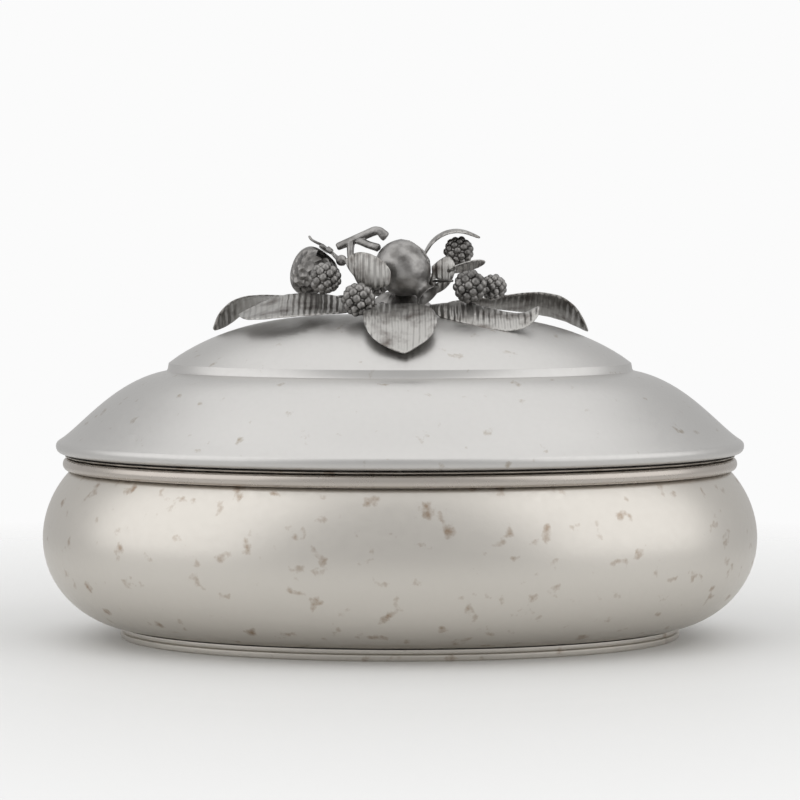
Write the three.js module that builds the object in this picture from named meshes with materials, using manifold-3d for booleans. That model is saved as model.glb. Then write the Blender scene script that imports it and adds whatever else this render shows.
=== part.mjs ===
// An oval silver vegetable tureen with a lift-off lid, in millimetres, +Z up, standing on z = 0.
// The handle of the lid is a bouquet of cast fruit and leaves, held by a stud and a nut under the lid.
import * as THREE from "three";
import { mergeVertices } from "three/addons/utils/BufferGeometryUtils.js";
import Module from "manifold-3d";

const wasm = await Module();
wasm.setup();

// Driving dimensions.
const BELLY_X = 150; // half the length of the bowl
const BELLY_Y = 108; // half its width
const CORE_RATIO = 0.59; // width over length of the innermost oval: inner ovals are slimmer
const WALL = 1; // raised sheet
const GAP = 0.3; // between soldered or seated pieces
const AROUND = 40; // facets round an oval

const FOOT_X = 117.6;
const FOOT_HEIGHT = 4.6;
const FOOT_WALL = 4.8;
const FLOOR_Z = 3.6;
const BELLY_Z = 42;
const NECK_X = 136.6;
const NECK_Z = 71;
const RIM_Z = 76;
const BAND_X = 141.5;

const SKIRT_X = 135;
const SKIRT_Z = 68.5;
const LIP_X = 140.9;
const FLANGE_X = 144.3;
const FLANGE_Z = 80.8;
const STEP_X = 99.3;
const STEP_Z = 111.6;
const STEP_HEIGHT = 4.3;
const CROWN_Z = 135.4; // flat seat of the handle
const CROWN_X = 18;

const STUD_R = 3;
const BASE_TOP = 141.5;
const LEAF_THICKNESS = 1.1;

const SILVER = { color: 0xc9c4bb, roughness: 0.34, metalness: 1 };
const DARK_SILVER = { color: 0x8d8882, roughness: 0.4, metalness: 1 };

const v3 = (x, y, z) => new THREE.Vector3(x, y, z);
const UP = v3(0, 0, 1);

// Solids and geometry.

// A closed three.js geometry as a manifold solid, with the triangles that collapse at a pole left out.
function solidOf(geometry) {
  const bare = new THREE.BufferGeometry();
  bare.setAttribute("position", geometry.getAttribute("position"));
  if (geometry.index) bare.setIndex(geometry.index);
  const merged = mergeVertices(bare, 1e-3);
  const corners = merged.index.array;
  const kept = [];
  for (let i = 0; i < corners.length; i += 3) {
    const [a, b, c] = corners.slice(i, i + 3);
    if (a !== b && b !== c && c !== a) kept.push(a, b, c);
  }
  const mesh = new wasm.Mesh({
    numProp: 3,
    vertProperties: new Float32Array(merged.getAttribute("position").array),
    triVerts: new Uint32Array(kept),
  });
  mesh.merge();
  return new wasm.Manifold(mesh);
}

function geometryOf(solid) {
  const mesh = solid.getMesh();
  const points = new Float32Array(mesh.numVert * 3);
  for (let i = 0; i < mesh.numVert; i += 1) {
    points.set(mesh.vertProperties.subarray(i * mesh.numProp, i * mesh.numProp + 3), i * 3);
  }
  const geometry = new THREE.BufferGeometry();
  geometry.setAttribute("position", new THREE.BufferAttribute(points, 3));
  geometry.setIndex(new THREE.BufferAttribute(mesh.triVerts, 1));
  const flat = geometry.toNonIndexed();
  flat.computeVertexNormals();
  return flat;
}

// The largest body of a solid: a cut can leave crumbs.
function largest(solid) {
  return solid.decompose().reduce((a, b) => (b.volume() > a.volume() ? b : a));
}

const group = new THREE.Group();

function add(name, solid, look = DARK_SILVER) {
  const mesh = new THREE.Mesh(geometryOf(solid), new THREE.MeshStandardMaterial(look));
  mesh.name = name;
  group.add(mesh);
  return solid;
}

// Ovals: a profile of radius and height is turned, and then pressed into the oval plan.

function ovalRatio(r) {
  return CORE_RATIO + ((BELLY_Y / BELLY_X - CORE_RATIO) * r) / BELLY_X;
}

function ovalSolid(profile) {
  const turned = new THREE.LatheGeometry(profile, AROUND);
  turned.rotateX(Math.PI / 2);
  const position = turned.getAttribute("position");
  for (let i = 0; i < position.count; i += 1) {
    const r = Math.hypot(position.getX(i), position.getY(i));
    position.setY(i, position.getY(i) * ovalRatio(r));
  }
  const solid = solidOf(turned);
  return solid.volume() < 0 ? solidOf(flipped(turned)) : solid;
}

function flipped(geometry) {
  const index = Array.from(geometry.index.array);
  for (let i = 0; i < index.length; i += 3) {
    [index[i + 1], index[i + 2]] = [index[i + 2], index[i + 1]];
  }
  const turned = geometry.clone();
  turned.setIndex(index);
  return turned;
}

// The points of a line moved sideways by a distance, to the left of its direction of travel.
function offset(points, distance) {
  return points.map((p, i) => {
    const before = points[Math.max(i - 1, 0)];
    const after = points[Math.min(i + 1, points.length - 1)];
    const along = new THREE.Vector2().subVectors(after, before).normalize();
    return new THREE.Vector2(p.x - along.y * distance, p.y + along.x * distance);
  });
}

// The bowl: from the middle of its floor, out round the belly and up to the neck.
function bowlProfile() {
  const line = new THREE.Path();
  line.moveTo(0, FLOOR_Z);
  line.lineTo(FOOT_X - FOOT_WALL - 5, FLOOR_Z);
  const outer = line.getPoints();
  const side = new THREE.Path();
  side.moveTo(FOOT_X, FOOT_HEIGHT + 0.6);
  side.bezierCurveTo(134, 7.5, BELLY_X, 22, BELLY_X, BELLY_Z);
  side.bezierCurveTo(BELLY_X, 54, 144.5, 64, 138.4, NECK_Z - 0.7);
  outer.push(new THREE.Vector2(FOOT_X - FOOT_WALL, FOOT_HEIGHT + 0.3));
  outer.push(...side.getPoints(5));
  outer.push(new THREE.Vector2(NECK_X, NECK_Z + 0.2));
  outer.push(new THREE.Vector2(NECK_X, RIM_Z));
  return outer;
}

function bowl() {
  const outer = bowlProfile();
  const inner = offset(outer, WALL);
  inner[0].x = 0;
  inner[inner.length - 1].y = RIM_Z;
  return ovalSolid([...outer, ...inner.reverse()]);
}

function foot() {
  const inside = FOOT_X - FOOT_WALL;
  const section = [
    [inside, 0],
    [FOOT_X - 0.9, 0],
    [FOOT_X - 0.1, 0.8],
    [FOOT_X, 2.5],
    [FOOT_X - 1, 3.3],
    [FOOT_X - 0.7, FOOT_HEIGHT],
    [inside, FOOT_HEIGHT],
    [inside, 0],
  ];
  return ovalSolid(section.map(([r, z]) => new THREE.Vector2(r, z)));
}

// The band is a half-round moulding outside the neck.
function band() {
  const inside = NECK_X + GAP;
  const low = NECK_Z - 0.4;
  const high = RIM_Z - GAP;
  const section = [
    [inside, low + 0.7],
    [BAND_X - 1.9, low],
    [BAND_X - 0.3, low + 1.3],
    [BAND_X, low + 2.9],
    [BAND_X - 0.4, high - 1],
    [BAND_X - 1.7, high],
    [inside, high],
    [inside, low + 0.7],
  ];
  return ovalSolid(section.map(([r, z]) => new THREE.Vector2(r, z)));
}

// The lid: from its lip, over the flange and the step, to the flat seat of the handle.
function lidProfile() {
  const outer = new THREE.Path();
  outer.moveTo(LIP_X, RIM_Z + WALL + 2 * GAP);
  outer.quadraticCurveTo(FLANGE_X, 77.8, FLANGE_X, FLANGE_Z);
  outer.quadraticCurveTo(FLANGE_X, 82.2, 142.6, 83.2);
  const flange = outer.getPoints(2);
  const ogee = new THREE.Path();
  ogee.moveTo(142.6, 83.2);
  ogee.bezierCurveTo(134, 88.6, 120, 107.5, STEP_X, STEP_Z);
  const dome = new THREE.Path();
  dome.moveTo(STEP_X - 3, STEP_Z + STEP_HEIGHT);
  dome.bezierCurveTo(74.5, 131.2, 50, CROWN_Z, CROWN_X, CROWN_Z);
  return [
    ...flange,
    ...ogee.getPoints(6).slice(1),
    new THREE.Vector2(STEP_X - 1.9, STEP_Z + 1.2),
    new THREE.Vector2(STEP_X - 2.3, STEP_Z + STEP_HEIGHT - 0.7),
    ...dome.getPoints(5),
  ];
}

// The line inside the lid runs back from the seat to the lip.
function lid() {
  const outer = lidProfile();
  const inner = offset(outer, WALL);
  inner[0].y = outer[0].y;
  const top = [new THREE.Vector2(0, CROWN_Z), new THREE.Vector2(0, CROWN_Z - WALL)];
  inner[inner.length - 1].y = CROWN_Z - WALL;
  const shell = ovalSolid([...outer, ...top, ...inner.reverse(), outer[0].clone()]);
  return shell.subtract(rod(v3(0, 0, CROWN_Z - 5), v3(0, 0, CROWN_Z + 5), STUD_R + GAP, 24));
}

// The flat seat of the lid and the skirt that drops inside the neck.
function bezel() {
  const seat = RIM_Z + GAP;
  const inside = SKIRT_X - WALL;
  const section = [
    [inside, SKIRT_Z],
    [SKIRT_X, SKIRT_Z],
    [SKIRT_X, seat],
    [LIP_X - 0.6, seat],
    [LIP_X, seat + WALL / 2],
    [LIP_X - 0.6, seat + WALL],
    [inside, seat + WALL],
    [inside, SKIRT_Z],
  ];
  return ovalSolid(section.map(([r, z]) => new THREE.Vector2(r, z)));
}

// Round bars and turned forms on any axis.

function turnTo(direction) {
  return new THREE.Matrix4().makeRotationFromQuaternion(
    new THREE.Quaternion().setFromUnitVectors(UP, direction.clone().normalize()),
  );
}

// A turned form: profile points are radius and distance along the axis from the centre.
function turned(profile, centre, axis, sides) {
  const geometry = new THREE.LatheGeometry(profile.map(([r, z]) => new THREE.Vector2(r, z)), sides);
  geometry.rotateX(Math.PI / 2);
  geometry.applyMatrix4(turnTo(axis));
  geometry.translate(centre.x, centre.y, centre.z);
  const solid = solidOf(geometry);
  return solid.volume() < 0 ? solidOf(flipped(geometry)) : solid;
}

function rod(from, to, radius, sides = 8) {
  const axis = v3().subVectors(to, from);
  const half = axis.length() / 2;
  const centre = v3().addVectors(from, to).multiplyScalar(0.5);
  const profile = [
    [0, -half],
    [radius, -half],
    [radius, half],
    [0, half],
  ];
  return turned(profile, centre, axis, sides);
}

function ball(centre, radius, detail = 1) {
  const geometry = new THREE.IcosahedronGeometry(radius, detail);
  geometry.translate(centre.x, centre.y, centre.z);
  return solidOf(geometry);
}

// A bar bent along a smooth curve, thick at one end and thin at the other.
function branch(points, startRadius, endRadius, sides = 6) {
  const curve = new THREE.CatmullRomCurve3(points);
  const steps = points.length * 2;
  const frames = curve.computeFrenetFrames(steps);
  const positions = [];
  for (let i = 0; i <= steps; i += 1) {
    const centre = curve.getPoint(i / steps);
    const radius = THREE.MathUtils.lerp(startRadius, endRadius, i / steps);
    for (let j = 0; j < sides; j += 1) {
      const angle = (2 * Math.PI * j) / sides;
      positions.push(
        centre
          .clone()
          .addScaledVector(frames.normals[i], Math.cos(angle) * radius)
          .addScaledVector(frames.binormals[i], Math.sin(angle) * radius),
      );
    }
  }
  return tubeSolid(positions, steps, sides);
}

// Rings of points as one closed tube with flat ends.
function tubeSolid(positions, steps, sides) {
  const index = [];
  for (let i = 0; i < steps; i += 1) {
    for (let j = 0; j < sides; j += 1) {
      const next = (j + 1) % sides;
      const [a, b] = [i * sides + j, i * sides + next];
      index.push(a, b, a + sides, b, b + sides, a + sides);
    }
  }
  const last = steps * sides;
  for (let j = 1; j < sides - 1; j += 1) {
    index.push(0, j + 1, j);
    index.push(last, last + j, last + j + 1);
  }
  const geometry = new THREE.BufferGeometry().setFromPoints(positions);
  geometry.setIndex(index);
  const solid = solidOf(geometry);
  return solid.volume() < 0 ? solidOf(flipped(geometry)) : solid;
}

// Leaves.

// A leaf is a curved sheet on a spine of points from stalk to tip. The side vectors at its ends say which way
// its width runs, cup lifts its edges, and fullness moves its widest place towards the tip.
function leaf({ spine, side, width, cup = 0, fullness = 1, blunt = 0.7, grow = 0, steps = 7, strips = 2 }) {
  const curve = new THREE.CatmullRomCurve3(spine);
  const upper = [];
  const lower = [];
  const thickness = LEAF_THICKNESS / 2 + grow;
  for (let i = 0; i <= steps; i += 1) {
    const along = i / steps;
    const tangent = curve.getTangent(along);
    const across = side[0].clone().lerp(side[1], along);
    across.addScaledVector(tangent, -across.dot(tangent)).normalize();
    const normal = v3().crossVectors(tangent, across);
    const half = 0.8 + grow + (width / 2 - 0.8) * Math.sin(Math.PI * along ** fullness) ** blunt;
    for (let j = 0; j <= strips; j += 1) {
      const out = (2 * j) / strips - 1;
      const middle = curve
        .getPoint(along)
        .addScaledVector(across, out * half)
        .addScaledVector(normal, cup * out * out * half);
      upper.push(middle.clone().addScaledVector(normal, thickness));
      lower.push(middle.clone().addScaledVector(normal, -thickness));
    }
  }
  const rings = [];
  for (let i = 0; i <= steps; i += 1) {
    const row = upper.slice(i * (strips + 1), (i + 1) * (strips + 1));
    rings.push(...row, ...lower.slice(i * (strips + 1), (i + 1) * (strips + 1)).reverse());
  }
  return tubeSolid(rings, steps, 2 * (strips + 1));
}

const LEAVES = {
  leaf_left: {
    spine: [v3(-14, -8, 139.5), v3(-30, -16, 139.8), v3(-46, -19, 139), v3(-58, -17, 137.2), v3(-67, -13, 135.8)],
    side: [v3(0, -0.94, -0.35), v3(0.1, -0.94, -0.25)],
    width: 29,
    cup: 0.06,
    fullness: 0.95,
  },
  leaf_left_far: {
    spine: [v3(-17, 10, 140), v3(-42, 13, 142.5), v3(-60, 10, 142), v3(-71, 7, 137.5), v3(-78.5, 3, 128.8)],
    side: [v3(0, 1, 0), v3(0.5, 0.75, -0.4)],
    width: 17,
    cup: 0.12,
    fullness: 1.3,
  },
  leaf_front: {
    spine: [v3(-2, -15, 140), v3(-1, -27, 139), v3(0, -42, 134.5), v3(1, -53, 128), v3(2, -62, 121.8)],
    side: [v3(1, 0, 0), v3(1, 0, 0.03)],
    width: 31,
    cup: 0.1,
    fullness: 1.1,
    blunt: 0.6,
  },
  leaf_right_front: {
    spine: [v3(12, -12, 139.5), v3(26, -23, 138), v3(41, -27, 135), v3(51, -26, 134.6), v3(57.5, -24, 139.5)],
    side: [v3(0, -0.88, -0.48), v3(0.1, -0.9, -0.4)],
    width: 18,
    cup: 0.15,
    fullness: 0.9,
  },
  leaf_right_back: {
    spine: [v3(20, 9, 140), v3(42, 15, 139.5), v3(58, 16, 139), v3(71, 13, 136), v3(79.5, 9, 128)],
    side: [v3(0, 0.9, -0.3), v3(0.1, 0.75, -0.6)],
    width: 22,
    cup: 0.08,
    fullness: 1.35,
    blunt: 0.55,
  },
  leaf_cowl: {
    spine: [v3(9, 2, 158), v3(12.5, 0.5, 166), v3(19, -1, 170.6), v3(26.5, -2.5, 171), v3(33.5, -4, 167.5)],
    side: [v3(0, 1, 0), v3(0, 1, 0)],
    width: 16,
    cup: -0.2,
    fullness: 1,
  },
  leaf_small: {
    spine: [v3(14.5, -8, 144.5), v3(16, -10, 150), v3(18.5, -10, 155.5), v3(20.5, -7.5, 160)],
    side: [v3(0.95, -0.3, -0.1), v3(0.9, -0.4, -0.2)],
    width: 11,
    cup: 0.1,
  },
  leaf_lobe: {
    spine: [v3(19.5, -12, 153.8), v3(26, -12, 155.6), v3(31, -11, 156.8), v3(35.5, -10, 157.6)],
    side: [v3(0, -0.8, 0.5), v3(0, -0.8, 0.5)],
    width: 8,
    cup: 0.1,
  },
  leaf_quilted: {
    spine: [v3(-22.5, -20, 158.5), v3(-16.5, -23.5, 156.5), v3(-9.5, -26, 152.5), v3(-4.5, -26.5, 148.5)],
    side: [v3(0.5, -0.25, 0.83), v3(0.6, -0.2, 0.77)],
    width: 13,
    cup: -0.15,
    fullness: 1.1,
    blunt: 0.5,
  },
  leaf_back: {
    spine: [v3(2, 12, 140), v3(1, 25, 139), v3(-1, 38, 135.6), v3(-3, 50, 129), v3(-4, 58, 123.5)],
    side: [v3(1, 0, 0), v3(1, 0, 0)],
    width: 30,
    cup: 0.1,
    fullness: 1.1,
    blunt: 0.6,
  },
};

// Fruit.

// A blackberry: drupelets spread evenly by the golden angle, as bumps that rise from one rounded body.
function blackberry({ centre, radius, axis, grow = 0 }) {
  const drupelets = 26;
  const bead = radius * 0.3;
  const turn = turnTo(axis);
  const beads = [];
  for (let i = 0; i < drupelets; i += 1) {
    const height = 1 - (2 * i + 1) / drupelets;
    const flat = Math.sqrt(1 - height * height);
    const angle = i * Math.PI * (3 - Math.sqrt(5));
    const place = v3(flat * Math.cos(angle), flat * Math.sin(angle), height);
    beads.push(place.multiplyScalar(radius - bead).applyMatrix4(turn));
  }
  const geometry = new THREE.IcosahedronGeometry(1, 3);
  const position = geometry.getAttribute("position");
  for (let i = 0; i < position.count; i += 1) {
    const way = new THREE.Vector3().fromBufferAttribute(position, i).normalize();
    let reach = radius - bead * 0.95;
    for (const place of beads) {
      const along = place.dot(way);
      const inside = bead * bead - (place.lengthSq() - along * along);
      if (inside > 0) reach = Math.max(reach, along + Math.sqrt(inside));
    }
    way.multiplyScalar(reach + grow).add(centre);
    position.setXYZ(i, way.x, way.y, way.z);
  }
  return solidOf(geometry);
}

const BERRIES = {
  berry_left: { centre: v3(-31, -15, 150.8), radius: 7.4, axis: v3(-0.3, -0.6, 0.7) },
  berry_front: { centre: v3(-17, -29.5, 142.3), radius: 7.7, axis: v3(0.1, -0.8, -0.5) },
  berry_right: { centre: v3(28.8, -19, 147.4), radius: 7.6, axis: v3(0.3, -0.8, 0.4) },
  berry_far_right: { centre: v3(39, -8.5, 147), radius: 6.2, axis: v3(0.8, -0.4, -0.2) },
  berry_top_right: { centre: v3(24.6, -2, 162), radius: 7, axis: v3(0.7, -0.5, 0.4) },
  berry_back_left: { centre: v3(-11, 19, 149), radius: 7.6, axis: v3(-0.3, 0.8, 0.5) },
  berry_back_right: { centre: v3(9, 22, 147.5), radius: 7.2, axis: v3(0.3, 0.8, 0.5) },
};

const POME = { centre: v3(1.2, -9, 155), axis: v3(0.62, -0.38, -0.68).normalize() };
POME.slot = v3(0.72, -0.2, 0.66);
POME.slot.addScaledVector(POME.axis, -POME.slot.dot(POME.axis)).normalize();

// The pomegranate: a round body drawn out into the crown that was its flower.
function pomegranateBody(grow = 0) {
  const profile = [
    [0, -12],
    [4, -11.6],
    [8, -9.4],
    [10.8, -5.4],
    [11.7, 0],
    [10.8, 5],
    [8, 9],
    [4.6, 11.4],
    [3.4, 13],
    [4, 14.8],
    [6.2, 16.8],
  ];
  const outer = profile.map(([r, z]) => [r ? r + grow : 0, z + Math.sign(z) * grow]);
  const mouth = grow
    ? [[0, 16.8 + grow]]
    : [
        [5.4, 17],
        [2.8, 15],
        [2, 13],
        [0, 12.6],
      ];
  return turned([...outer, ...mouth], POME.centre, POME.axis, 18);
}

// A lens along the side of the pomegranate, where its skin has split.
function splitLens(grow) {
  const centre = POME.centre.clone().addScaledVector(POME.slot, 10.6).addScaledVector(POME.axis, -1.5);
  const lens = new THREE.SphereGeometry(1, 12, 8);
  lens.scale(2.5 + grow, 4.4 + grow, 8.6 + grow);
  const frame = new THREE.Matrix4().makeBasis(
    v3().crossVectors(POME.slot, POME.axis),
    POME.slot,
    POME.axis.clone(),
  );
  lens.applyMatrix4(frame);
  lens.translate(centre.x, centre.y, centre.z);
  const solid = solidOf(lens);
  return solid.volume() < 0 ? solidOf(flipped(lens)) : solid;
}

// The seeds lie in rows in the split, a little under the skin.
function pomegranateSeeds() {
  const across = v3().crossVectors(POME.slot, POME.axis);
  let solid = splitLens(-0.4).intersect(ball(POME.centre, 10.4, 2));
  for (let row = -1; row <= 1; row += 1) {
    for (let k = -2; k <= 2; k += 1) {
      const place = POME.centre.clone();
      place.addScaledVector(POME.axis, -1.5 + k * 2.6 + row * 0.6);
      place.addScaledVector(across, row * 1.15 * Math.cos(k / 2));
      place.addScaledVector(POME.slot, 10.1 * Math.cos((k * 2.6) / 12.5));
      solid = solid.add(ball(place, 0.95, 0));
    }
  }
  return solid.intersect(splitLens(-0.35));
}

const STRAWBERRY = { centre: v3(-36.5, 3, 153.6), axis: v3(0.6, 0.05, 0.76).normalize() };

function strawberry(grow = 0) {
  const profile = [
    [0, -11.5],
    [3.6, -10.6],
    [7, -7.4],
    [9.4, -2],
    [9.9, 3],
    [8.4, 7],
    [5, 8.9],
    [0, 9.2],
  ];
  const grown = profile.map(([r, z]) => [r ? r + grow : 0, z + Math.sign(z) * grow]);
  return turned(grown, STRAWBERRY.centre, STRAWBERRY.axis, 16);
}

// Five pointed sepals round a short stalk.
function calyx() {
  const { centre, axis } = STRAWBERRY;
  const top = centre.clone().addScaledVector(axis, 9.9);
  const first = v3().crossVectors(axis, v3(0, 1, 0)).normalize();
  let solid = rod(top, top.clone().addScaledVector(axis, 2.4), 1.5, 8);
  for (let i = 0; i < 5; i += 1) {
    const out = first.clone().applyAxisAngle(axis, (2 * Math.PI * i) / 5);
    const place = (r, up) => top.clone().addScaledVector(out, r).addScaledVector(axis, up);
    const sepal = leaf({
      spine: [place(0.6, 0.9), place(4.4, 1), place(8, -0.2), place(10.6, 0.6)],
      side: [v3().crossVectors(axis, out), v3().crossVectors(axis, out)],
      width: 5.4,
      fullness: 0.75,
      steps: 4,
    });
    solid = solid.add(sepal);
  }
  return solid;
}

// Twig and stems.

function twig() {
  const main = [v3(-26.5, -1.5, 163.6), v3(-20, -3, 166.4), v3(-13.5, -4, 169.2), v3(-9.3, -5, 170.6), v3(-5.6, -5.8, 167.6)];
  const side = [v3(-18, -3.6, 166.8), v3(-13, -6, 164.6), v3(-8.6, -8, 163.4)];
  const prop = [v3(-20.6, -3.4, 165.8), v3(-20.4, -6, 158), v3(-15.5, -6, 147), v3(-12, -5, 140.6)];
  return branch(main, 1.9, 2.5)
    .add(branch(side, 1.8, 1.9))
    .add(branch(prop, 1.7, 1.5));
}

function bud() {
  const centre = v3(-24.3, -14, 158.3);
  return ball(centre, 2.5, 1).add(rod(centre, v3(-21.6, -7.8, 157), 0.8));
}

const STEMS = {
  stem_front: [v3(-11.8, -21, 139.2), v3(-7, -11.5, 140.6)],
  stem_left: [v3(-26, -19, 143.4), v3(-17, -8, 143.4)],
  stem_right: [v3(21.8, -17.5, 150), v3(13.5, -8, 149.6)],
};

// Fixing of the handle.

function finialBase() {
  const profile = [
    [0, CROWN_Z + GAP],
    [CROWN_X - 1, CROWN_Z + GAP],
    [CROWN_X - 0.4, CROWN_Z + 1.6],
    [13, CROWN_Z + 4],
    [8, BASE_TOP + 3],
    [0, BASE_TOP + 4.5],
  ];
  const boss = ovalSolid(profile.map(([r, z]) => new THREE.Vector2(r, z)));
  return boss.subtract(rod(v3(0, 0, CROWN_Z - 2), v3(0, 0, BASE_TOP), STUD_R + GAP, 12));
}

function washer() {
  const top = CROWN_Z - WALL - GAP;
  const disc = rod(v3(0, 0, top - 1.2), v3(0, 0, top), 8, 16);
  return disc.subtract(rod(v3(0, 0, top - 3), v3(0, 0, top + 3), STUD_R + GAP, 12));
}

function nut() {
  const top = CROWN_Z - WALL - 2 * GAP - 1.2;
  const hexagon = rod(v3(0, 0, top - 5), v3(0, 0, top), 5.8, 6);
  return hexagon.subtract(rod(v3(0, 0, top - 8), v3(0, 0, top + 3), STUD_R + GAP, 12));
}

// Assembly: each piece of the bouquet is cut to sit against the pieces made before it.

add("bowl_shell", bowl(), SILVER);
add("foot_ring", foot(), SILVER);
add("rim_band", band(), SILVER);
const lidShell = add("lid_shell", lid(), SILVER);
add("lid_bezel", bezel(), SILVER);
add("finial_stud", rod(v3(0, 0, CROWN_Z - 11), v3(0, 0, BASE_TOP - GAP), STUD_R, 12), SILVER);
add("finial_washer", washer(), SILVER);
add("finial_nut", nut(), SILVER);

const taken = [lidShell];

// Adds a piece less what is taken, and takes its own grown form.
function nest(name, piece, grown) {
  let solid = piece;
  for (const other of taken) {
    if (solid.intersect(other).volume() > 0) solid = solid.subtract(other);
  }
  solid = largest(solid);
  add(name, solid);
  taken.push(grown);
}

nest("pomegranate_body", pomegranateBody().subtract(splitLens(0)), pomegranateBody(GAP).subtract(splitLens(-0.3)));
nest("pomegranate_seeds", pomegranateSeeds(), splitLens(0));
nest("strawberry", strawberry(), strawberry(GAP));
for (const [name, berry] of Object.entries(BERRIES)) {
  nest(name, blackberry(berry), blackberry({ ...berry, grow: GAP }));
}
nest("twig", twig(), twig());
nest("bud", bud(), bud());
nest("strawberry_calyx", calyx(), calyx());
for (const [name, [from, to]] of Object.entries(STEMS)) {
  nest(name, rod(from, to, 0.7, 7), rod(from, to, 0.7 + GAP, 7));
}
for (const [name, shape] of Object.entries(LEAVES)) {
  nest(name, leaf(shape), leaf({ ...shape, grow: GAP }));
}
nest("finial_base", finialBase(), finialBase());

export default group;
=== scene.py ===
# An oval silver vegetable tureen on a white floor: worn polished dish and lid, oxidised cast handle.
import math

import bpy
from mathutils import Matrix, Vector


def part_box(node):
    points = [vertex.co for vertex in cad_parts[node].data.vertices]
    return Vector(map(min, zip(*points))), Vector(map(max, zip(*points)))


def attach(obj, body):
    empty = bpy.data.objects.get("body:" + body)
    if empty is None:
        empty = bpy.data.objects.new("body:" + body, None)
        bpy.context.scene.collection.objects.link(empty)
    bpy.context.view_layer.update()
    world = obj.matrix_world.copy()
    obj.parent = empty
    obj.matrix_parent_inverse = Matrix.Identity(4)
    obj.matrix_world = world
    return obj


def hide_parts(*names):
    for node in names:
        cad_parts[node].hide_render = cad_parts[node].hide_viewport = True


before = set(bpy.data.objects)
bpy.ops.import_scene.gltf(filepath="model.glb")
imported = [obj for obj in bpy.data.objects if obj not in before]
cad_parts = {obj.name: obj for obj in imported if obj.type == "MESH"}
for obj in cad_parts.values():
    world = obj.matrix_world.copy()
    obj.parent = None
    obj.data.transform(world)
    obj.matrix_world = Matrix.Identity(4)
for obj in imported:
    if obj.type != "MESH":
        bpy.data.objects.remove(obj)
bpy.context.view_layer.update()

# Bowl: sheet silver raised over stakes into a bellied oval, then burnished. Its long use shows as soft
# wear and brown specks. Its wall is one millimetre thick. Profiles are half lengths and heights in
# millimetres, as in all the sections of the dish and the lid.
MM = 0.001
BELLY_X, BELLY_Y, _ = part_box("bowl_shell")[1]
CORE_RATIO = 0.59
WALL = 1 * MM
SEGMENTS = 160
SMOOTH_ANGLE = math.radians(35)
MERGE_DISTANCE = 0.01 * MM

BOWL_FLOOR = [(1, 3.6), (50, 3.6), (107.8, 3.6), (112.8, 4.9)]
FOOT_JOIN = (117.6, 5.2)
BELLY = (150, 42)
NECK = (138.4, 70.3)
MOUTH = [(136.6, 71.2), (136.6, 76)]


def oval_ratio(radius):
    """Width over length of the oval whose half length is radius: inner ovals are slimmer."""
    return CORE_RATIO + (BELLY_Y / BELLY_X - CORE_RATIO) * radius / BELLY_X


def bezier(start, first, second, end, steps):
    """Points along a cubic curve, without its start."""
    points = []
    for i in range(1, steps + 1):
        t = i / steps
        u = 1 - t
        weights = (u * u * u, 3 * u * u * t, 3 * u * t * t, t * t * t)
        corners = (start, first, second, end)
        points.append(tuple(sum(w * c[k] for w, c in zip(weights, corners)) for k in (0, 1)))
    return points


def raise_oval(name, profile, closed=False):
    """An oval skin through the points of a profile, extruded ring by ring."""
    bpy.ops.object.select_all(action="DESELECT")
    radius, height = (value * MM for value in profile[0])
    bpy.ops.mesh.primitive_circle_add(vertices=SEGMENTS, radius=1, location=(0, 0, 0))
    piece = bpy.context.object
    piece.name = name
    bpy.ops.object.mode_set(mode="EDIT")
    bpy.ops.mesh.select_all(action="SELECT")
    bpy.ops.transform.resize(value=(radius, radius * oval_ratio(radius), 1), center_override=(0, 0, 0))
    bpy.ops.transform.translate(value=(0, 0, height))
    for next_radius, next_height in ((r * MM, z * MM) for r, z in profile[1:]):
        wider = next_radius / radius
        broader = wider * oval_ratio(next_radius) / oval_ratio(radius)
        bpy.ops.mesh.extrude_region_move()
        bpy.ops.transform.resize(value=(wider, broader, 1), center_override=(0, 0, height))
        bpy.ops.transform.translate(value=(0, 0, next_height - height))
        radius, height = next_radius, next_height
    bpy.ops.mesh.select_all(action="SELECT")
    if closed:
        bpy.ops.mesh.remove_doubles(threshold=MERGE_DISTANCE)
    bpy.ops.mesh.normals_make_consistent(inside=False)
    bpy.ops.object.mode_set(mode="OBJECT")
    bpy.ops.object.shade_smooth_by_angle(angle=SMOOTH_ANGLE)
    return piece


def thicken(piece):
    """Gives a skin the wall of the sheet, on its inner side."""
    bpy.context.view_layer.objects.active = piece
    solid = piece.modifiers.new("sheet", "SOLIDIFY")
    solid.thickness = WALL
    solid.offset = -1
    bpy.ops.object.modifier_apply(modifier=solid.name)


# Share of the noise above which tarnish begins and is full, and the swing of the gloss round its middle.
STAIN_START = 0.72
STAIN_FULL = 0.78
GLOSS_SWING = (0.75, 1.3)
WEAR_FINENESS = 3
SKIN_DEPTH = 0.3 * MM


def noise(material, scale, detail):
    """Clouded noise on the piece's own coordinates."""
    nodes = material.node_tree.nodes
    texture = nodes.new("ShaderNodeTexNoise")
    texture.inputs["Scale"].default_value = scale
    texture.inputs["Detail"].default_value = detail
    place = nodes.new("ShaderNodeTexCoord").outputs["Object"]
    material.node_tree.links.new(place, texture.inputs["Vector"])
    return texture.outputs["Fac"]


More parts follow.
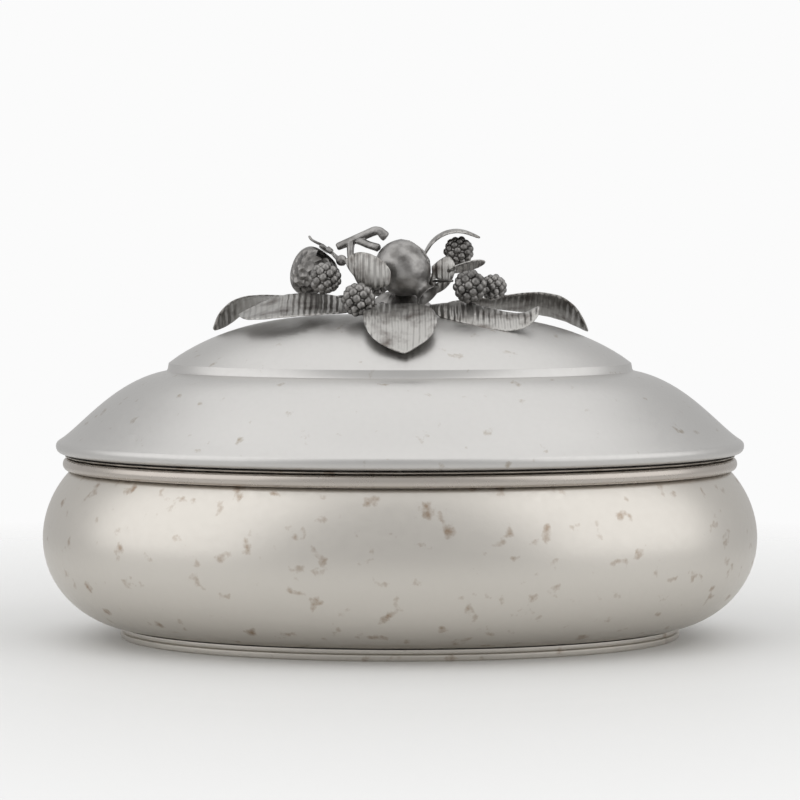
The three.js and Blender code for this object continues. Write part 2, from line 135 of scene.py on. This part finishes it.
def silver(name, colour, stain, rough, stained, bump, grain):
    """Silver with spots of tarnish, fine wear in its gloss and a slightly uneven skin."""
    material = bpy.data.materials.new(name)
    material.use_nodes = True
    nodes = material.node_tree.nodes
    link = material.node_tree.links.new
    shader = nodes["Principled BSDF"]
    shader.inputs["Metallic"].default_value = 1
    spread = nodes.new("ShaderNodeValToRGB")
    spread.color_ramp.elements[0].position = STAIN_START - stained
    spread.color_ramp.elements[1].position = STAIN_FULL
    link(noise(material, grain, 8), spread.inputs["Fac"])
    mix = nodes.new("ShaderNodeMix")
    mix.data_type = "RGBA"
    mix.inputs["A"].default_value = (*colour, 1)
    mix.inputs["B"].default_value = (*stain, 1)
    link(spread.outputs["Color"], mix.inputs["Factor"])
    link(mix.outputs["Result"], shader.inputs["Base Color"])
    wear = noise(material, grain * WEAR_FINENESS, 10)
    gloss = nodes.new("ShaderNodeMapRange")
    gloss.inputs["To Min"].default_value = rough * GLOSS_SWING[0]
    gloss.inputs["To Max"].default_value = rough * GLOSS_SWING[1]
    link(wear, gloss.inputs["Value"])
    link(gloss.outputs["Result"], shader.inputs["Roughness"])
    skin = nodes.new("ShaderNodeBump")
    skin.inputs["Strength"].default_value = bump
    skin.inputs["Distance"].default_value = SKIN_DEPTH
    link(wear, skin.inputs["Height"])
    link(skin.outputs["Normal"], shader.inputs["Normal"])
    return material


def dress(piece, material, body, node):
    """Gives a finished piece its material, ties it to the frame and lets it stand for its node."""
    piece.data.materials.clear()
    piece.data.materials.append(material)
    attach(piece, body)
    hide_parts(node)


BOWL_SILVER = silver(
    "bowl silver",
    colour=(0.62, 0.59, 0.545),
    stain=(0.28, 0.19, 0.12),
    rough=0.36,
    stained=0.11,
    bump=0.12,
    grain=130,
)
belly_line = bezier(FOOT_JOIN, (134, 7.5), (150, 22), BELLY, 16)
belly_line += bezier(BELLY, (150, 54), (144.5, 64), NECK, 12)
bowl = raise_oval("bowl", [*BOWL_FLOOR, FOOT_JOIN, *belly_line, *MOUTH])
thicken(bowl)
dress(bowl, BOWL_SILVER, "dish", "bowl_shell")

# Foot ring: a strip of silver drawn to a small moulding, bent to the oval and soldered under the bowl.
# It has a rounded lower edge, a crease and a fillet, and it wears most along its lower edge.
FOOT_SECTION = [
    (112.8, 0),
    (116.7, 0),
    (117.4, 0.5),
    (117.6, 1.6),
    (117.6, 2.5),
    (116.7, 3.1),
    (116.9, 3.9),
    (116.9, 4.6),
    (112.8, 4.6),
    (112.8, 0),
]
foot = raise_oval("foot", FOOT_SECTION, closed=True)
dress(foot, BOWL_SILVER, "dish", "foot_ring")

# Rim band: a half-round wire of silver, soldered round the neck to stiffen the mouth. It is drawn
# through a plate and filed smooth, and its colour is set darker than the bowl's.
BAND_LOW = (139.6, 70.6)
BAND_HIGH = (139.8, 75.7)
BAND_BACK = [(136.9, 75.7), (136.9, 71.3)]
BAND_SILVER = silver(
    "band silver",
    colour=(0.5, 0.46, 0.42),
    stain=(0.1, 0.07, 0.05),
    rough=0.28,
    stained=0.05,
    bump=0.05,
    grain=70,
)
band_section = [BAND_BACK[-1], BAND_LOW]
band_section += bezier(BAND_LOW, (142.1, 71.2), (142, 75.1), BAND_HIGH, 10)
band_section += BAND_BACK
band = raise_oval("band", band_section, closed=True)
dress(band, BAND_SILVER, "dish", "rim_band")

# Lid: sheet silver raised to an ogee, with a sharp little step and a shallow dome. Its edge is rolled
# over into a lip, and its top is pierced for the stud of the handle. It is greyer than the bowl.
LIP = (140.9, 77.6)
FLANGE = (144.3, 80.8)
OGEE_FOOT = (142.6, 83.2)
OGEE_TOP = (99.3, 111.6)
STEP = [(98, 111.9), (97.4, 112.8), (97, 115.2)]
DOME_FOOT = (96.3, 115.9)
SEAT = (18, 135.4)
STUD_HOLE = (3.3, 135.4)
LID_SILVER = silver(
    "lid silver",
    colour=(0.58, 0.57, 0.555),
    stain=(0.34, 0.29, 0.23),
    rough=0.38,
    stained=0.07,
    bump=0.12,
    grain=150,
)
lid_line = bezier(LIP, (143.2, 77.7), (144.3, 78.8), FLANGE, 5)
lid_line += bezier(FLANGE, (144.3, 82), (143.5, 82.7), OGEE_FOOT, 4)
lid_line += bezier(OGEE_FOOT, (134, 88.6), (120, 107.5), OGEE_TOP, 20)
lid_line += STEP
lid_line += bezier(DOME_FOOT, (74.5, 131.2), (50, 135.4), SEAT, 20)
lid = raise_oval("lid", [LIP, *lid_line, STUD_HOLE])
thicken(lid)
dress(lid, LID_SILVER, "lid", "lid_shell")


# Skirt and fixing: a strip of silver inside the lid centres it in the mouth, and a stud with a washer
# and a nut holds the handle from below. All are turned or bent from stock, in the bowl's silver.
def coat(piece, material):
    """Gives a piece of the frame a material in place of its own."""
    piece.data.materials.clear()
    piece.data.materials.append(material)


for name in ("lid_bezel", "finial_stud", "finial_washer", "finial_nut"):
    coat(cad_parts[name], BOWL_SILVER)

# Handle: fruit, leaves and a twig cast in silver, chased, and joined with wire stems on a cast boss.
# The castings are darkened, and rubbed bright where they stand out. Leaves have ribs and the pitted
# fruit has seed hollows.
WELD_DISTANCE = 0.02 * MM
ROUNDING = 2
CHASING = 0.8


def ribs(nodes):
    """Even ribs, as on a chased leaf."""
    figure = nodes.new("ShaderNodeTexWave")
    figure.inputs["Scale"].default_value = 130
    figure.inputs["Distortion"].default_value = 1.5
    return figure, figure.outputs["Fac"]


def pits(nodes):
    """Small hollows, as where seeds sit."""
    figure = nodes.new("ShaderNodeTexVoronoi")
    figure.inputs["Scale"].default_value = 330
    return figure, figure.outputs["Distance"]


def chase(material, pattern, depth):
    """Adds a chased pattern under the skin's own unevenness."""
    nodes = material.node_tree.nodes
    link = material.node_tree.links.new
    skin = next(node for node in nodes if node.type == "BUMP")
    figure, height = pattern(nodes)
    link(nodes.new("ShaderNodeTexCoord").outputs["Object"], figure.inputs["Vector"])
    chased = nodes.new("ShaderNodeBump")
    chased.inputs["Strength"].default_value = CHASING
    chased.inputs["Distance"].default_value = depth
    link(height, chased.inputs["Height"])
    link(chased.outputs["Normal"], skin.inputs["Normal"])


def smooth_cast(piece):
    """Rounds the facets of a cast piece, as filing and polishing do."""
    weld = piece.modifiers.new("joined", "WELD")
    weld.merge_threshold = WELD_DISTANCE
    rounding = piece.modifiers.new("rounded", "SUBSURF")
    rounding.levels = ROUNDING
    rounding.render_levels = ROUNDING
    bpy.ops.object.select_all(action="DESELECT")
    piece.select_set(True)
    bpy.context.view_layer.objects.active = piece
    bpy.ops.mesh.customdata_custom_splitnormals_clear()
    bpy.ops.object.shade_smooth()


CAST_SILVER = silver(
    "cast silver",
    colour=(0.36, 0.35, 0.34),
    stain=(0.05, 0.045, 0.04),
    rough=0.36,
    stained=0.3,
    bump=0.5,
    grain=160,
)
LEAF_SILVER = silver(
    "leaf silver",
    colour=(0.46, 0.45, 0.43),
    stain=(0.1, 0.08, 0.07),
    rough=0.36,
    stained=0.26,
    bump=0.4,
    grain=140,
)
chase(LEAF_SILVER, ribs, 0.5 * MM)
PITTED_SILVER = silver(
    "pitted silver",
    colour=(0.3, 0.29, 0.28),
    stain=(0.04, 0.035, 0.03),
    rough=0.34,
    stained=0.3,
    bump=0.3,
    grain=180,
)
chase(PITTED_SILVER, pits, 2.5 * MM)

CAST_STARTS = ("leaf_", "twig", "bud", "strawberry", "pomegranate", "finial_base", "stem_")
for name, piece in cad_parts.items():
    if name.startswith(CAST_STARTS):
        finish = LEAF_SILVER if name.startswith("leaf_") else CAST_SILVER
        coat(piece, PITTED_SILVER if name == "strawberry" else finish)
        smooth_cast(piece)

# Blackberries: each is cast in one with its drupelets, which are spread evenly over a round core and
# rubbed bright. The hollows between them stay dark.
DRUPELETS = 34
DRUPELET_SHARE = 0.27
GOLDEN_ANGLE = math.pi * (3 - math.sqrt(5))
BERRY_SILVER = silver(
    "berry silver",
    colour=(0.3, 0.29, 0.28),
    stain=(0.03, 0.028, 0.025),
    rough=0.32,
    stained=0.3,
    bump=0.3,
    grain=200,
)


def ball(centre, radius, fineness):
    """A round ball."""
    bpy.ops.mesh.primitive_ico_sphere_add(subdivisions=fineness, radius=radius, location=centre)
    return bpy.context.object


def blackberry(node):
    """A berry in the place of its solid."""
    low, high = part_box(node)
    centre = (low + high) / 2
    radius = min(high - low) / 2
    bead = radius * DRUPELET_SHARE
    bpy.ops.object.select_all(action="DESELECT")
    core = ball(centre, radius - bead, 3)
    parts = [core]
    for i in range(DRUPELETS):
        height = 1 - (2 * i + 1) / DRUPELETS
        flat = math.sqrt(1 - height * height)
        turn = i * GOLDEN_ANGLE
        way = Vector((flat * math.cos(turn), flat * math.sin(turn), height))
        parts.append(ball(centre + way * (radius - bead), bead, 2))
    for part in parts:
        part.select_set(True)
    bpy.context.view_layer.objects.active = core
    bpy.ops.object.join()
    bpy.ops.object.transform_apply(location=True, rotation=True, scale=True)
    bpy.ops.object.shade_smooth()
    core.name = "cast_" + node
    dress(core, BERRY_SILVER, "lid", node)


for name in sorted(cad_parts):
    if name.startswith("berry_"):
        blackberry(name)

# Floor: a pale matt surface under the dish, which takes its shadow and fades into the white room.
FLOOR_SIZE = 8
FLOOR_COLOUR = (0.82, 0.82, 0.81, 1)
FADE_START = 0.2
FADE_END = 0.55
bpy.ops.object.select_all(action="DESELECT")
bpy.ops.mesh.primitive_plane_add(size=FLOOR_SIZE, location=(0, 0, 0))
floor = bpy.context.object
floor.name = "floor"
floor_material = bpy.data.materials.new("floor")
floor_material.use_nodes = True
floor_nodes = floor_material.node_tree.nodes
floor_link = floor_material.node_tree.links.new
matt = floor_nodes["Principled BSDF"]
matt.inputs["Base Color"].default_value = FLOOR_COLOUR
matt.inputs["Roughness"].default_value = 0.5
away = floor_nodes.new("ShaderNodeVectorMath")
away.operation = "LENGTH"
floor_link(floor_nodes.new("ShaderNodeTexCoord").outputs["Object"], away.inputs[0])
fade = floor_nodes.new("ShaderNodeMapRange")
fade.inputs["From Min"].default_value = FADE_START
fade.inputs["From Max"].default_value = FADE_END
floor_link(away.outputs["Value"], fade.inputs["Value"])
clear = floor_nodes.new("ShaderNodeBsdfTransparent")
faded = floor_nodes.new("ShaderNodeMixShader")
floor_link(fade.outputs["Result"], faded.inputs[0])
floor_link(matt.outputs[0], faded.inputs[1])
floor_link(clear.outputs[0], faded.inputs[2])
floor_link(faded.outputs[0], floor_nodes["Material Output"].inputs["Surface"])
floor.data.materials.append(floor_material)

# Room: white to the camera and a mid grey to everything that it lights.
ROOM_GREY = (0.62, 0.62, 0.62, 1)
ROOM_WHITE = (0.965, 0.965, 0.965, 1)
world = bpy.data.worlds.new("room")
bpy.context.scene.world = world
world.use_nodes = True
room_nodes = world.node_tree.nodes
room_link = world.node_tree.links.new
room = room_nodes["Background"]
room.inputs["Color"].default_value = ROOM_GREY
seen = room_nodes.new("ShaderNodeBackground")
seen.inputs["Color"].default_value = ROOM_WHITE
either = room_nodes.new("ShaderNodeMixShader")
room_link(room_nodes.new("ShaderNodeLightPath").outputs["Is Camera Ray"], either.inputs[0])
room_link(room.outputs[0], either.inputs[1])
room_link(seen.outputs[0], either.inputs[2])
room_link(either.outputs[0], room_nodes["World Output"].inputs["Surface"])

# Lamps: a wide soft lamp on each side and one above, all turned to the dish.
LAMP_SIZE = 2.2
SIDE_POWER = 11
TOP_POWER = 9
LAMP_TARGET = Vector((0, 0, 0.08))


def lamp(name, place, power):
    """A square soft lamp that faces the dish."""
    data = bpy.data.lights.new(name, "AREA")
    data.energy = power
    data.size = LAMP_SIZE
    source = bpy.data.objects.new(name, data)
    bpy.context.scene.collection.objects.link(source)
    source.location = place
    source.rotation_euler = (LAMP_TARGET - Vector(place)).to_track_quat("-Z", "Y").to_euler()


lamp("left lamp", (-1.5, -0.7, 0.9), SIDE_POWER)
lamp("right lamp", (1.5, -0.7, 0.9), SIDE_POWER)
lamp("top lamp", (0, 0.1, 1.7), TOP_POWER)

# Camera: a long lens straight in front of the dish, a little above its lid and tipped slightly down.
CAMERA_AWAY = 1.384
CAMERA_HEIGHT = 0.18
CAMERA_PITCH = math.radians(3.33)
camera_data = bpy.data.cameras.new("camera")
camera_data.lens = 148.5
camera_data.sensor_width = 36
camera = bpy.data.objects.new("camera", camera_data)
bpy.context.scene.collection.objects.link(camera)
camera.location = (0, -CAMERA_AWAY, CAMERA_HEIGHT)
camera.rotation_euler = (math.pi / 2 - CAMERA_PITCH, 0, 0)
bpy.context.scene.camera = camera
bpy.context.scene.view_settings.view_transform = "Standard"
